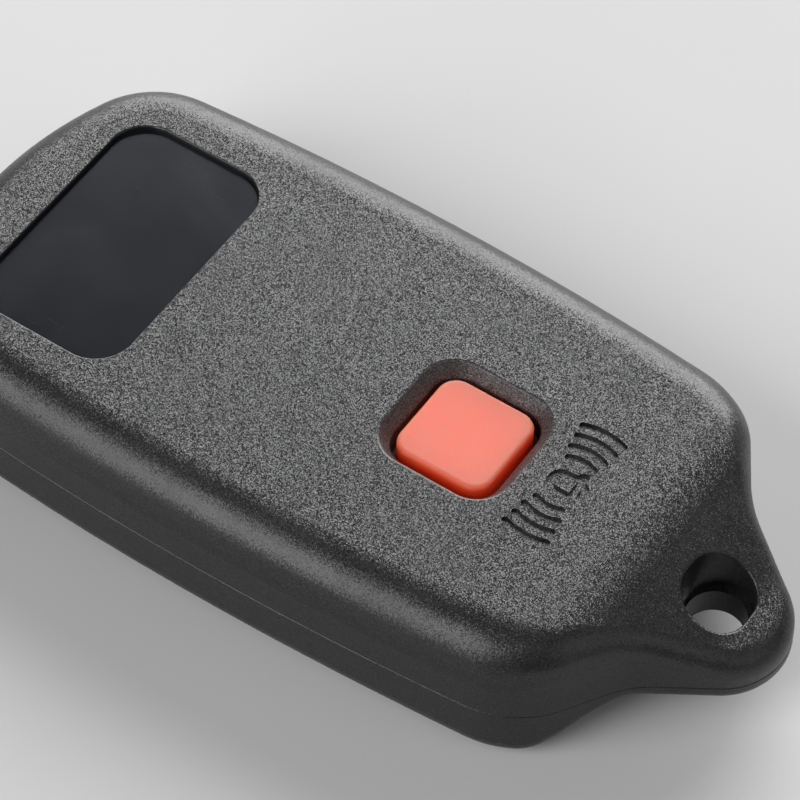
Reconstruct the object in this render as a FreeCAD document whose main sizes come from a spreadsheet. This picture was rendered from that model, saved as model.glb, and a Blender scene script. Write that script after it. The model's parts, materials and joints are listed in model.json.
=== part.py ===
import FreeCAD, Part
import math
import os
import Sketcher
from FreeCAD import Vector

# Car key fob lying on its front face: +Z towards the alarm button, +X towards the key-ring lug.
# The origin is on the floor, below the middle of the outline. All sizes are in millimetres.

SIZES = {
    # outer shell, seen from above
    "overall_length": 71.0,
    "overall_width": 34.2,
    "overall_height": 12.0,
    "end_bow_radius": 30.0,
    "end_corner_radius": 8.0,
    "side_bow_radius": 261.0,
    "widest_offset": 5.7,
    "shoulder_corner_radius": 8.0,
    "flank_setback": 2.75,
    "flank_angle": 57.6,
    "neck_blend_radius": 8.0,
    "lug_side_angle": 32.6,
    "lug_radius": 5.4,
    # outer shell, seen from the side
    "parting_height": 5.15,
    "lug_slope_radius": 8.0,
    "lug_slope_angle": 25.0,
    "lug_level_setback": 4.1,
    "lug_level_rise": 3.36,
    "lug_level_radius": 8.0,
    "lug_level_angle": 13.0,
    "step_setback": 13.7,
    "step_radius": 2.6,
    "step_angle": 45.0,
    "lug_underside": 3.6,
    "shoulder_radius": 3.9,
    "lug_edge_radius": 1.9,
    "front_edge_radius": 1.8,
    "lug_front_edge_radius": 1.0,
    "seam_edge_radius": 0.12,
    "rim_lead": 3.0,
    "rim_run": 1.5,
    # shell walls
    "side_wall": 1.6,
    "rear_wall": 1.5,
    "front_wall": 1.5,
    "cavity_setback": 14.1,
    "rear_inner_radius": 2.4,
    "front_inner_radius": 0.8,
    "lip_thickness": 0.8,
    "lip_rise": 0.8,
    "lip_clearance": 0.1,
    # key-ring hole: round in the front cover, with a wider oval mouth in the rear cover
    "ring_setback": 5.63,
    "ring_radius": 2.3,
    "mouth_half_length": 2.5,
    "mouth_half_width": 2.95,
    "mouth_floor_rise": 0.8,
    "mouth_edge_radius": 0.2,
    # blank label plate and its recess
    "label_setback": 13.0,
    "label_length": 12.85,
    "label_width": 21.05,
    "label_corner_radius": 3.1,
    "label_sink": 0.45,
    "label_thickness": 0.4,
    "label_clearance": 0.05,
    "label_rim_radius": 0.15,
    "backing_margin": 1.2,
    "backing_thickness": 0.8,
    # alarm button and its well
    "alarm_setback": 27.2,
    "alarm_size": 8.0,
    "alarm_corner_radius": 1.55,
    "alarm_edge_radius": 0.4,
    "alarm_sink": 0.5,
    "alarm_travel": 0.35,
    "well_length": 10.8,
    "well_width": 10.4,
    "well_corner_radius": 2.85,
    "well_depth": 1.1,
    "alarm_gap": 0.5,
    "well_rim_radius": 0.25,
    "collar_depth": 3.1,
    "collar_wall": 1.2,
    # engraved alarm mark
    "mark_setback": 18.7,
    "mark_stroke": 0.55,
    "mark_depth": 0.2,
    # buttons in the front face
    "hatch_setback": 25.7,
    "button_pitch": 13.0,
    "front_button_length": 8.6,
    "front_button_width": 17.0,
    "front_button_corner_radius": 4.0,
    "front_button_edge_radius": 0.4,
    "front_button_sink": 0.3,
    "front_button_travel": 0.3,
    "button_gap": 0.3,
    "flange_width": 0.9,
    "flange_thickness": 0.6,
    "seat_gap": 0.05,
    "stem_radius": 1.6,
    "stem_length": 0.45,
    # transmitter module
    "module_end_gap": 6.2,
    "module_lug_gap": 15.7,
    "module_side_gap": 3.9,
    "module_corner_radius": 3.0,
    "module_wall": 0.9,
    "module_floor_height": 2.55,
    "module_floor": 0.5,
    "module_rim_height": 5.0,
    "gasket_thickness": 0.6,
    "module_top_gap": 3.8,
    "module_top": 0.7,
    "module_post_radius": 1.2,
    "module_post_inset": 2.4,
    "board_height": 4.4,
    "board_thickness": 0.8,
    "board_margin": 0.25,
    # battery and its contacts
    "cell_setback": 17.7,
    "cell_radius": 10.0,
    "cell_thickness": 1.6,
    "cell_cap_radius": 8.6,
    "contact_thickness": 0.2,
    "contact_width": 5.0,
    # switches
    "front_switch_size": 4.5,
    "front_switch_height": 1.3,
    "front_plunger_radius": 1.1,
    "alarm_switch_size": 6.0,
    "alarm_plunger_reach": 0.65,
    "alarm_plunger_radius": 1.5,
    "plunger_clearance": 0.1,
    "plunger_grip": 0.55,
    # indicator light
    "light_setback": 18.4,
    "light_pipe_radius": 1.0,
    "light_collar_radius": 1.5,
    "light_sink": 0.3,
    "light_length": 1.5,
    "light_width": 3.0,
    "light_height": 0.9,
    "light_clearance": 0.03,
    # posts that hold the module between the covers
    "rear_post_setback": 25.3,
    "rear_post_inset": 4.2,
    "rear_post_radius": 1.0,
    "lug_post_setback": 18.4,
    "front_post_setback": 8.7,
    "front_post_inset": 2.7,
    "front_post_radius": 1.2,
    # parts on the circuit board
    "chip_offset": 1.5,
    "chip_side": -5.8,
    "chip_size": 4.4,
    "chip_height": 1.0,
    "chip_stand": 0.1,
    "chip_pitch": 1.0,
    "chip_leg": 0.8,
    "chip_leg_width": 0.4,
    "chip_leg_rise": 0.3,
    "resonator_side": 6.4,
    "resonator_radius": 2.3,
    "resonator_height": 1.5,
    "crystal_side": -9.2,
    "crystal_length": 3.2,
    "crystal_width": 1.6,
    "crystal_height": 0.8,
    "row_offset": 6.3,
    "capacitor_first": -9.5,
    "resistor_first": 3.9,
    "row_pitch": 1.4,
    "chip_part_length": 1.6,
    "chip_part_width": 0.8,
    "capacitor_height": 0.8,
    "resistor_height": 0.45,
    "antenna_setback": 20.2,
    "antenna_length": 5.6,
    "antenna_margin": 2.2,
    "antenna_corner_radius": 1.6,
    "antenna_strip": 0.7,
    "antenna_height": 1.4,
    # small values shared by many pieces
    "cell_step": 0.25,
    "contact_gap": 1.9,
    "contact_strip": 9.0,
    "contact_foot": 2.0,
    "contact_plate": 14.0,
    "window_clearance": 0.9,
    "mouth_flat": 0.02,
    "overrun": 1.0,
}

os.makedirs("parts", exist_ok=True)
doc = FreeCAD.newDocument("key_fob")
sheet = doc.addObject("Spreadsheet::Sheet", "Size")
for row, (alias, number) in enumerate(SIZES.items(), start=1):
    sheet.set("A%d" % row, alias)
    sheet.set("B%d" % row, str(number))
    sheet.setAlias("B%d" % row, alias)
doc.recompute()


def size(alias):
    return float(getattr(sheet, alias))


# Places along the fob, as formulas: each is set back from the lug's tip or from the closed end
TIP = "Size.overall_length / 2"
CLOSED = "-Size.overall_length / 2"
RING_AT = TIP + " - Size.ring_setback"
LEVEL_AT = TIP + " - Size.lug_level_setback"
STEP_AT = TIP + " - Size.step_setback"
CAVITY_END = TIP + " - Size.cavity_setback"
ALARM_AT = TIP + " - Size.alarm_setback"
MARK_AT = TIP + " - Size.mark_setback"
LIGHT_AT = TIP + " - Size.light_setback"
LUG_POST_AT = TIP + " - Size.lug_post_setback"
ANTENNA_AT = TIP + " - Size.antenna_setback"
CHIP_AT = ALARM_AT + " - Size.chip_offset"
ROW_AT = ALARM_AT + " - Size.row_offset"
LABEL_AT = CLOSED + " + Size.label_setback"
CELL_AT = CLOSED + " + Size.cell_setback"
REAR_POST_AT = CLOSED + " + Size.rear_post_setback"
FRONT_POST_AT = CLOSED + " + Size.front_post_setback"
ALARM_OPENING = "Size.alarm_size + 2 * Size.alarm_gap"
BUTTON_AT = {
    "hatch": TIP + " - Size.hatch_setback",
    "unlock": TIP + " - Size.hatch_setback - Size.button_pitch",
    "lock": TIP + " - Size.hatch_setback - 2 * Size.button_pitch",
}

# The module fills the hollow between the two ends and the sides
MODULE_AT = "(Size.module_end_gap - Size.module_lug_gap) / 2"
MODULE_LENGTH = "(Size.overall_length - Size.module_end_gap - Size.module_lug_gap)"
MODULE_WIDTH = "(Size.overall_width - 2 * Size.module_side_gap)"

# Levels that more than one piece shares, as formulas
TOP = "Size.overall_height"
CEILING = TOP + " - Size.rear_wall"
LABEL_FLOOR = TOP + " - Size.label_sink - Size.label_thickness"
COLLAR_LOW = TOP + " - Size.collar_depth"
MOUTH_FLOOR = "Size.parting_height + Size.mouth_floor_rise"
ALARM_FLANGE_TOP = COLLAR_LOW + " - Size.seat_gap"
ALARM_FLANGE_LOW = ALARM_FLANGE_TOP + " - Size.flange_thickness"
ALARM_SWITCH_TOP = ALARM_FLANGE_LOW + " - Size.alarm_plunger_reach"
MODULE_TOP = TOP + " - Size.module_top_gap"
FRONT_FLANGE_LOW = "Size.front_wall + Size.seat_gap"
FRONT_FLANGE_TOP = FRONT_FLANGE_LOW + " + Size.flange_thickness"
STEM_TOP = FRONT_FLANGE_TOP + " + Size.stem_length"
MODULE_FLOOR_TOP = "Size.module_floor_height + Size.module_floor"
COVER_LOW = "Size.module_rim_height + Size.gasket_thickness"
BOARD_TOP = "Size.board_height + Size.board_thickness"
CELL_LOW = BOARD_TOP + " + Size.contact_thickness"
CELL_TOP = CELL_LOW + " + Size.cell_thickness"
LIP_INSET = "Size.side_wall + Size.lip_clearance"
FRONT_INSET = LIP_INSET + " + Size.lip_thickness"

# Tolerance for picking edges by their place, and the band round the seam that holds no other edge
TINY = 1e-6
SEAM_BAND = 0.4


def unit(angle):
    return Vector(math.cos(math.radians(angle)), math.sin(math.radians(angle)), 0)


def flip(point):
    return Vector(point.x, -point.y, 0)


# Sketches

def plane_sketch(body, name, role, height=None):
    sketch = body.newObject("Sketcher::SketchObject", name)
    plane = [item for item in body.Origin.OriginFeatures if item.Role == role][0]
    sketch.AttachmentSupport = (plane, [""])
    sketch.MapMode = "FlatFace"
    if height is not None:
        sketch.setExpression("AttachmentOffset.Base.z", height)
    return sketch


def dimension(sketch, kind, places, value, formula):
    number = sketch.addConstraint(Sketcher.Constraint(kind, *places, value))
    sketch.setExpression("Constraints[%d]" % number, formula)


def arc_between(centre, start, stop):
    # the short arc, and whether it runs backwards from stop to start
    first = math.atan2(start.y - centre.y, start.x - centre.x)
    last = math.atan2(stop.y - centre.y, stop.x - centre.x)
    turn = (last - first + math.pi) % (2 * math.pi) - math.pi
    circle = Part.Circle(centre, Vector(0, 0, 1), (start - centre).Length)
    if turn > 0:
        return Part.ArcOfCircle(circle, first, first + turn), False
    return Part.ArcOfCircle(circle, last, last - turn), True


def chain_up(sketch, chain, closed=True):
    # chain holds (centre or None, start, stop); neighbours meet tangent to each other
    ends = []
    for centre, start, stop in chain:
        if centre is None:
            sketch.addGeometry(Part.LineSegment(start, stop), False)
            ends.append((1, 2))
            continue
        arc, backwards = arc_between(centre, start, stop)
        sketch.addGeometry(arc, False)
        ends.append((2, 1) if backwards else (1, 2))
    joins = len(chain) if closed else len(chain) - 1
    for index in range(joins):
        after = (index + 1) % len(chain)
        sketch.addConstraint(Sketcher.Constraint("Tangent", index, ends[index][1], after, ends[after][0]))
    return ends


# Plan outline of the fob: arcs and lines, tangent to each other, alike on both sides of the X axis.

def circles_meet(centre_a, radius_a, centre_b, radius_b):
    span = centre_b - centre_a
    along = (radius_a ** 2 - radius_b ** 2 + span.Length ** 2) / (2 * span.Length)
    across = math.sqrt(radius_a ** 2 - along ** 2)
    direction = Vector(span).normalize()
    side = Vector(-direction.y, direction.x, 0)
    return [centre_a + direction * along + side * turn * across for turn in (1, -1)]


def lines_meet(normal_a, reach_a, normal_b, reach_b):
    spread = normal_a.x * normal_b.y - normal_a.y * normal_b.x
    return Vector((reach_a * normal_b.y - reach_b * normal_a.y) / spread,
                  (normal_a.x * reach_b - normal_b.x * reach_a) / spread, 0)


def line_meets_circle(normal, reach, centre, radius):
    offset = reach - normal.dot(centre)
    along = math.sqrt(radius ** 2 - offset ** 2)
    return centre + normal * offset + Vector(-normal.y, normal.x, 0) * along


def outline_chain(inset):
    end_radius = size("end_bow_radius")
    side_radius = size("side_bow_radius")
    corner_radius = size("end_corner_radius")
    shoulder_radius = size("shoulder_corner_radius")
    blend_radius = size("neck_blend_radius")
    flank_reach = (size("overall_length") / 2 - size("flank_setback")) * unit(90 - size("flank_angle")).x
    end = Vector(end_radius - size("overall_length") / 2, 0, 0)
    side = Vector(-size("widest_offset"), size("overall_width") / 2 - side_radius, 0)
    lug = Vector(size("overall_length") / 2 - size("lug_radius"), 0, 0)
    lug_normal = unit(90 - size("lug_side_angle"))
    flank_normal = unit(90 - size("flank_angle"))
    lug_reach = lug_normal.dot(lug) + size("lug_radius")
    corners = circles_meet(end, end_radius - corner_radius, side, side_radius - corner_radius)
    corner = min(corners, key=lambda point: point.x)
    shoulder = line_meets_circle(flank_normal, flank_reach - shoulder_radius, side,
                                 side_radius - shoulder_radius)
    blend = lines_meet(flank_normal, flank_reach + blend_radius, lug_normal, lug_reach + blend_radius)
    end_join = end + (corner - end).normalize() * (end_radius - inset)
    corner_join = side + (corner - side).normalize() * (side_radius - inset)
    side_join = side + (shoulder - side).normalize() * (side_radius - inset)
    flank_start = shoulder + flank_normal * (shoulder_radius - inset)
    flank_stop = blend - flank_normal * (blend_radius + inset)
    lug_start = blend - lug_normal * (blend_radius + inset)
    lug_stop = lug + lug_normal * (size("lug_radius") - inset)
    upper = [
        (corner, end_join, corner_join),
        (side, corner_join, side_join),
        (shoulder, side_join, flank_start),
        (None, flank_start, flank_stop),
        (blend, flank_stop, lug_start),
        (None, lug_start, lug_stop),
    ]
    lower = [(None if centre is None else flip(centre), flip(stop), flip(start))
             for centre, start, stop in reversed(upper)]
    return [(end, flip(end_join), end_join)] + upper + [(lug, lug_stop, flip(lug_stop))] + lower


def outline_sketch(body, name, height, inset_formula="", inset=0.0):
    # the outline, or the outline drawn in by a wall; geometry 0 is the closed end, 7 the tip of the lug
    sketch = plane_sketch(body, name, "XY_Plane", height)
    chain_up(sketch, outline_chain(inset))
    less = " - (" + inset_formula + ")" if inset_formula else ""
    more = " + " + inset_formula if inset_formula else ""
    radii = [("end_bow_radius", (0,)), ("end_corner_radius", (1, 13)), ("side_bow_radius", (2, 12)),
             ("shoulder_corner_radius", (3, 11)), ("lug_radius", (7,))]
    for alias, places in radii:
        for place in places:
            dimension(sketch, "Radius", (place,), size(alias) - inset, "Size." + alias + less)
    for place in (5, 9):
        dimension(sketch, "Radius", (place,), size("neck_blend_radius") + inset,
                  "Size.neck_blend_radius" + more)
    for alias, above, below in (("flank_angle", 4, 10), ("lug_side_angle", 6, 8)):
        angle = size(alias)
        dimension(sketch, "Angle", (above,), math.radians(-angle), "-Size.%s * 1 deg" % alias)
        dimension(sketch, "Angle", (below,), math.radians(180 + angle), "(180 + Size.%s) * 1 deg" % alias)
    half = size("overall_length") / 2
    reach = (half - size("flank_setback")) * unit(90 - size("flank_angle")).x
    for place in (4, 10):
        dimension(sketch, "Distance", (-1, 1, place), reach - inset,
                  "(Size.overall_length / 2 - Size.flank_setback) * sin(Size.flank_angle * 1 deg)" + less)
    fall = size("side_bow_radius") - size("overall_width") / 2
    for place, ends in ((2, (2, 3, -1, 1)), (12, (-1, 1, 12, 3))):
        dimension(sketch, "DistanceX", (place, 3, -1, 1), size("widest_offset"), "Size.widest_offset")
        dimension(sketch, "DistanceY", ends, fall, "Size.side_bow_radius - Size.overall_width / 2")
    sketch.addConstraint(Sketcher.Constraint("PointOnObject", 0, 3, -1))
    sketch.addConstraint(Sketcher.Constraint("PointOnObject", 7, 3, -1))
    dimension(sketch, "DistanceX", (0, 3, -1, 1), half - size("end_bow_radius"),
              "Size.overall_length / 2 - Size.end_bow_radius")
    dimension(sketch, "DistanceX", (-1, 1, 7, 3), half - size("lug_radius"),
              "Size.overall_length / 2 - Size.lug_radius")
    return sketch


def pad(body, name, sketch, length):
    feature = body.newObject("PartDesign::Pad", name)
    feature.Profile = sketch
    feature.setExpression("Length", length)
    return feature


def pocket_through(body, name, sketch):
    feature = body.newObject("PartDesign::Pocket", name)
    feature.Profile = sketch
    feature.Type = "ThroughAll"
    feature.SideType = "Symmetric"
    return feature


def new_body(name):
    return doc.addObject("PartDesign::Body", name)


def rounded_sketch(body, name, x, length, width, radius, height):
    # a rounded rectangle centred on y = 0, drawn at a plain size first and then driven by the sheet
    sketch = plane_sketch(body, name, "XY_Plane", height)
    half_x, half_y, corner = 5.0, 4.0, 1.5
    inner_x, inner_y = half_x - corner, half_y - corner
    corners = [Vector(sx * inner_x, sy * inner_y, 0) for sx, sy in ((1, 1), (-1, 1), (-1, -1), (1, -1))]
    starts = [Vector(half_x, -inner_y, 0), Vector(inner_x, half_y, 0), Vector(-half_x, inner_y, 0),
              Vector(-inner_x, -half_y, 0)]
    stops = [Vector(half_x, inner_y, 0), Vector(-inner_x, half_y, 0), Vector(-half_x, -inner_y, 0),
             Vector(inner_x, -half_y, 0)]
    chain = []
    for index in range(4):
        chain.append((None, starts[index], stops[index]))
        chain.append((corners[index], stops[index], starts[(index + 1) % 4]))
    chain_up(sketch, chain)
    sketch.addConstraint(Sketcher.Constraint("Vertical", 4))
    for place in (2, 6):
        sketch.addConstraint(Sketcher.Constraint("Horizontal", place))
    for place in (3, 5, 7):
        sketch.addConstraint(Sketcher.Constraint("Equal", 1, place))
    dimension(sketch, "Radius", (1,), corner, radius)
    dimension(sketch, "DistanceX", (4, 1, 0, 1), 2 * half_x, length)
    dimension(sketch, "DistanceY", (6, 1, 2, 1), 2 * half_y, width)
    sketch.addConstraint(Sketcher.Constraint("Symmetric", 0, 1, 0, 2, -1))
    dimension(sketch, "DistanceX", (-1, 1, 0, 1), half_x, "%s + (%s) / 2" % (x, length))
    return sketch


def rounded_block(name, x, length, width, radius, low, high):
    body = new_body(name)
    sketch = rounded_sketch(body, name + "_outline", x, length, width, radius, low)
    pad(body, name + "_pad", sketch, "%s - (%s)" % (high, low))
    return body


# Part primitives and booleans, all bound to the sheet

def box(name, x, y, low, length, width, height):
    # x and y are the middle of the box
    shape = doc.addObject("Part::Box", name)
    shape.setExpression("Length", length)
    shape.setExpression("Width", width)
    shape.setExpression("Height", height)
    shape.setExpression("Placement.Base.x", "%s - (%s) / 2" % (x, length))
    shape.setExpression("Placement.Base.y", "%s - (%s) / 2" % (y, width))
    shape.setExpression("Placement.Base.z", low)
    return shape


def cylinder(name, x, y, low, radius, height):
    shape = doc.addObject("Part::Cylinder", name)
    shape.setExpression("Radius", radius)
    shape.setExpression("Height", height)
    shape.setExpression("Placement.Base.x", x)
    shape.setExpression("Placement.Base.y", y)
    shape.setExpression("Placement.Base.z", low)
    return shape


def cut(name, base, tool):
    shape = doc.addObject("Part::Cut", name)
    shape.Base = base
    shape.Tool = tool
    return shape


def fuse(name, pieces):
    shape = doc.addObject("Part::MultiFuse", name)
    shape.Shapes = pieces
    return shape


def round_edges(name, base, chosen):
    # chosen holds (edge number, first radius, last radius)
    shape = doc.addObject("Part::Fillet", name)
    shape.Base = base
    shape.Edges = chosen
    return shape


def edge_points(edge):
    first, last = edge.FirstParameter, edge.LastParameter
    return edge.valueAt(first), edge.valueAt((first + last) / 2), edge.valueAt(last)


def face_slope(face, point):
    # how far the face is from upright at a point: 0 for a wall, 1 for a floor
    place = face.Surface.parameter(point)
    return abs(face.normalAt(*place).z)


def rim_edges(shape, low, high):
    # edges between an upright wall and a top or bottom surface, whose height lies between low and high
    found = []
    for number, edge in enumerate(shape.Edges, start=1):
        start, middle, stop = edge_points(edge)
        if min(start.z, middle.z, stop.z) < low or max(start.z, middle.z, stop.z) > high:
            continue
        slopes = sorted(face_slope(face, middle) for face in shape.ancestorsOfType(edge, Part.Face))
        if len(slopes) == 2 and slopes[0] < 0.02 and slopes[1] > 0.2:
            found.append((number, edge))
    return found


def ease(place, start, stop, first, last):
    # a smooth change from first to last between two places along the fob
    share = min(max((place - start) / (stop - start), 0.0), 1.0)
    share = share * share * (3 - 2 * share)
    return first + (last - first) * share


def rounded_rim(shape, low, high, start, body_radius, lug_radius):
    # rim edges with the body's radius, easing down to the lug's radius from before start to past the ring
    first = start - size("rim_lead")
    last = size("overall_length") / 2 - size("ring_setback") + size("rim_run")
    chosen = []
    for number, edge in rim_edges(shape, low, high):
        ends = edge_points(edge)
        radii = [ease(end.x, first, last, size(body_radius), size(lug_radius)) for end in (ends[0], ends[2])]
        chosen.append((number, *radii))
    return chosen


def seam_edges(shape):
    return flat_edges(shape, size("parting_height"), size("seam_edge_radius"))


# Outer shells

def slope_chain(start, level_height, crest_radius, angle, level_start, level_radius, level_angle, turn):
    # side view: from flat at (start, level_height), over a crest, down a slope and out to a flatter run
    across = Vector(math.sin(math.radians(angle)), turn * math.cos(math.radians(angle)), 0)
    down = Vector(math.cos(math.radians(angle)), -turn * math.sin(math.radians(angle)), 0)
    crest = Vector(start, level_height - turn * crest_radius, 0)
    crest_stop = crest + across * crest_radius
    slope_stop = crest_stop + down * ((level_start - crest_stop.x) / down.x)
    foot = slope_stop + across * level_radius
    out = Vector(math.sin(math.radians(level_angle)), turn * math.cos(math.radians(level_angle)), 0)
    foot_stop = foot - out * level_radius
    run = Vector(math.cos(math.radians(level_angle)), -turn * math.sin(math.radians(level_angle)), 0)
    end = foot_stop + run * ((size("overall_length") / 2 + size("overrun") - foot_stop.x) / run.x)
    return [(crest, Vector(start, level_height, 0), crest_stop), (None, crest_stop, slope_stop),
            (foot, slope_stop, foot_stop), (None, foot_stop, end)]


def close_outside(sketch, chain, height):
    # closes a side-view chain with lines that run clear of the solid
    start, end = chain[0][1], chain[-1][2]
    sketch.addGeometry(Part.LineSegment(end, Vector(end.x, height, 0)), False)
    sketch.addGeometry(Part.LineSegment(Vector(end.x, height, 0), Vector(start.x, height, 0)), False)
    sketch.addGeometry(Part.LineSegment(Vector(start.x, height, 0), start), False)


def profile_sketch(body, name, chain, centre_height, crest_radius, level_radius, slope, outside):
    # side view of a slope at the lug end, closed by lines clear of the solid; slope and outside are
    # (value, formula) of the slope's angle and of the height of the closing line
    sketch = plane_sketch(body, name, "XZ_Plane")
    ends = chain_up(sketch, chain, closed=False)
    close_outside(sketch, chain, outside[0])
    for first, second in ((3, 4), (4, 5), (5, 6)):
        sketch.addConstraint(Sketcher.Constraint("Coincident", first, 2, second, 1))
    sketch.addConstraint(Sketcher.Constraint("Coincident", 6, 2, 0, ends[0][0]))
    sketch.addConstraint(Sketcher.Constraint("Vertical", 0, ends[0][0], 0, 3))
    sketch.addConstraint(Sketcher.Constraint("Vertical", 4))
    sketch.addConstraint(Sketcher.Constraint("Horizontal", 5))
    sketch.addConstraint(Sketcher.Constraint("Vertical", 6))
    dimension(sketch, "Radius", (0,), size(crest_radius), "Size." + crest_radius)
    dimension(sketch, "Radius", (2,), size(level_radius), "Size." + level_radius)
    dimension(sketch, "DistanceY", (-1, 1, 0, 3), chain[0][0].y, centre_height)
    dimension(sketch, "Angle", (1,), slope[0], slope[1])
    dimension(sketch, "DistanceX", (-1, 1, 3, 2), chain[3][2].x, TIP + " + Size.overrun")
    outside_ends = (-1, 1, 5, 1) if outside[0] > 0 else (5, 1, -1, 1)
    dimension(sketch, "DistanceY", outside_ends, abs(outside[0]), outside[1])
    return sketch


def rear_block():
    body = new_body("rear_block")
    pad(body, "rear_pad", outline_sketch(body, "rear_outline", "Size.parting_height"),
        TOP + " - Size.parting_height")
    top, radius = size("overall_height"), size("lug_slope_radius")
    angle = math.radians(size("lug_slope_angle"))
    level_start = size("overall_length") / 2 - size("lug_level_setback")
    fall = top - size("parting_height") - size("lug_level_rise") - radius * (1 - math.cos(angle))
    start = level_start - radius * math.sin(angle) - fall / math.tan(angle)
    chain = slope_chain(start, top, radius, size("lug_slope_angle"), level_start, size("lug_level_radius"),
                        size("lug_level_angle"), 1)
    sketch = profile_sketch(body, "rear_slope", chain, TOP + " - Size.lug_slope_radius", "lug_slope_radius",
                            "lug_level_radius", (-angle, "-Size.lug_slope_angle * 1 deg"),
                            (top + size("overrun"), TOP + " + Size.overrun"))
    dimension(sketch, "Angle", (3,), math.radians(-size("lug_level_angle")), "-Size.lug_level_angle * 1 deg")
    dimension(sketch, "DistanceX", (-1, 1, 1, 2), level_start, LEVEL_AT)
    dimension(sketch, "DistanceY", (-1, 1, 1, 2), chain[1][2].y, "Size.parting_height + Size.lug_level_rise")
    pocket_through(body, "rear_slope_cut", sketch)
    doc.recompute()
    rim = rounded_rim(body.Shape, size("parting_height") + SEAM_BAND, top + SEAM_BAND, start,
                      "shoulder_radius", "lug_edge_radius")
    return round_edges("rear_rounded", body, rim + seam_edges(body.Shape))


def front_block():
    body = new_body("front_block")
    pad(body, "front_pad", outline_sketch(body, "front_outline", "0"), "Size.parting_height")
    radius, angle = size("step_radius"), math.radians(size("step_angle"))
    start = size("overall_length") / 2 - size("step_setback")
    rise = size("lug_underside") - 2 * radius * (1 - math.cos(angle))
    level_start = start + radius * math.sin(angle) + rise / math.tan(angle)
    chain = slope_chain(start, 0, radius, size("step_angle"), level_start, radius, 0, -1)
    sketch = profile_sketch(body, "front_step", chain, "Size.step_radius", "step_radius", "step_radius",
                            (angle, "Size.step_angle * 1 deg"), (-size("overrun"), "Size.overrun"))
    sketch.addConstraint(Sketcher.Constraint("Horizontal", 3))
    dimension(sketch, "DistanceX", (-1, 1, 0, 3), start, STEP_AT)
    dimension(sketch, "DistanceY", (-1, 1, 3, 1), size("lug_underside"), "Size.lug_underside")
    pocket_through(body, "front_step_cut", sketch)
    doc.recompute()
    rim = rounded_rim(body.Shape, -SEAM_BAND, size("parting_height") - SEAM_BAND, start,
                      "front_edge_radius", "lug_front_edge_radius")
    return round_edges("front_rounded", body, rim + seam_edges(body.Shape))


def inner_space(name, inset_formula, inset, low, high, end):
    # the outline drawn in by a wall, as far as the lug end of the hollow
    body = new_body(name + "_full")
    pad(body, name + "_pad", outline_sketch(body, name + "_outline", low, inset_formula, inset),
        "%s - (%s)" % (high, low))
    keep = box(name + "_keep", "(%s + %s) / 2" % (end, CLOSED), "0", low, "%s - (%s)" % (end, CLOSED),
               "Size.overall_width", "%s - (%s)" % (high, low))
    space = doc.addObject("Part::Common", name)
    space.Base = body
    space.Tool = keep
    doc.recompute()
    return space


def flat_edges(shape, height, radius):
    # every edge of a shape that lies in the level plane at height
    chosen = []
    for number, edge in enumerate(shape.Edges, start=1):
        if all(abs(point.z - height) < TINY for point in edge_points(edge)):
            chosen.append((number, radius, radius))
    return chosen


def hollow_edges(shape, height, radius):
    # the edges of a hollow in the level plane at height, without the straight one at the lug end
    end = shape.BoundBox.XMax
    return [choice for choice in flat_edges(shape, height, radius)
            if edge_points(shape.Edges[choice[0] - 1])[1].x < end - TINY]


def posts(name, places, low, high, radius):
    return [cylinder("%s_%d" % (name, number), x, y, low, radius, "%s - (%s)" % (high, low))
            for number, (x, y) in enumerate(places, start=1)]


def hollow(name, space, islands):
    # a hollow with what stands in it left solid
    return cut(name, space, fuse(name + "_islands", islands))


def alarm_well():
    # sloping walls from the wide rim down to the opening round the button
    body = new_body("well")
    rim = rounded_sketch(body, "well_rim", ALARM_AT, "Size.well_length", "Size.well_width",
                         "Size.well_corner_radius", TOP)
    floor = rounded_sketch(body, "well_floor", ALARM_AT, ALARM_OPENING, ALARM_OPENING,
                           "Size.alarm_corner_radius + Size.alarm_gap", TOP + " - Size.well_depth")
    loft = body.newObject("PartDesign::AdditiveLoft", "well_loft")
    loft.Profile = rim
    loft.Sections = [floor]
    loft.Ruled = True
    return body


def mark_strokes():
    # a bell between sound arcs; u runs across the fob, v towards the alarm button
    def arc(centre_v, radius, first, last):
        circle = Part.Circle(Vector(0, centre_v, 0), Vector(0, 0, 1), radius)
        return [Part.ArcOfCircle(circle, math.radians(first), math.radians(last)).toShape()]

    def path(points):
        return [Part.LineSegment(Vector(*a, 0), Vector(*b, 0)).toShape() for a, b in zip(points, points[1:])]

    dome = 0.8
    rim, waist, crown, foot = 1.3, -0.45, 0.3, -0.95
    bell = path([(rim, foot), (dome, waist), (dome, crown)]) + arc(crown, dome, 0, 180)
    bell += path([(-dome, crown), (-dome, waist), (-rim, foot), (rim, foot)])
    strokes = [bell, arc(foot, 0.65, 215, 325)]
    for radius, spread in ((2.35, 27), (3.35, 25), (4.35, 21), (5.35, 19)):
        strokes.append(arc(0, radius, -spread, spread))
        strokes.append(arc(0, radius, 180 - spread, 180 + spread))
    return strokes


def alarm_mark():
    # shallow grooves, each a stroke thickened to both sides
    half = size("mark_stroke") / 2
    grooves = []
    for stroke in mark_strokes():
        wire = Part.Wire(Part.__sortEdges__(stroke))
        if wire.isClosed():
            outer = Part.Face(wire.makeOffset2D(half))
            band = outer.cut(Part.Face(wire.makeOffset2D(-half)))
        else:
            band = Part.Face(wire.makeOffset2D(half, 0, False, False))
        grooves.append(band.extrude(Vector(0, 0, size("mark_depth") + size("overrun"))))
    shape = grooves[0].fuse(grooves[1:])
    shape.rotate(Vector(0, 0, 0), Vector(0, 0, 1), 90)
    mark = doc.addObject("Part::Feature", "mark_grooves")
    mark.Shape = shape
    mark.setExpression("Placement.Base.x", MARK_AT)
    mark.setExpression("Placement.Base.z", TOP + " - Size.mark_depth")
    return mark


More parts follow.
